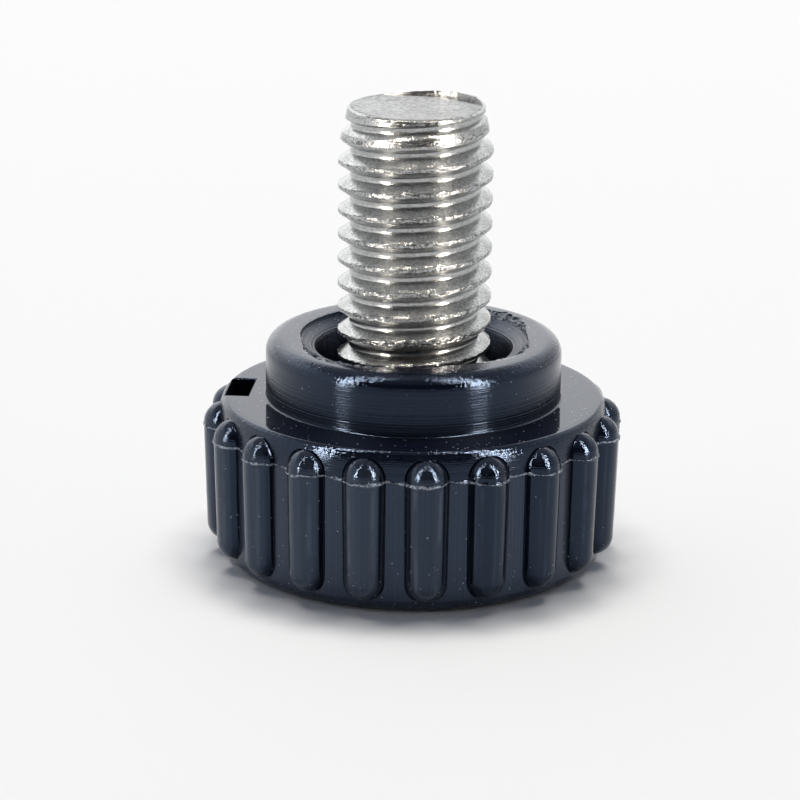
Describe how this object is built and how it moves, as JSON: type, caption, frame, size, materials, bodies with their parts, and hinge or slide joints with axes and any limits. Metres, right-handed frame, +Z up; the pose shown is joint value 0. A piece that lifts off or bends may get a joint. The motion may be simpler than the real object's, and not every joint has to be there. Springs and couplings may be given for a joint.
{
  "type": "thumb screw",
  "caption": "Ribbed black plastic knob with a round boss, moulded round the head of a steel screw whose threaded stud stands up from it.",
  "frame": {"origin": "centre of the knob's flat base, on the surface that it stands on", "axes": "+Z up along the stud, from the knob's base to the stud's end; +X to the right and +Y to the back as it is looked at with the shoulder's pocket on the left"},
  "size_m": [0.0214, 0.0214, 0.0235],
  "materials": {
    "black_plastic": "glossy black moulding, dusty and lightly scuffed",
    "steel": "bare bright steel with a rolled thread"
  },
  "bodies": {
    "root": {"knob": "black_plastic", "stud": "steel"}
  },
  "joints": []
}
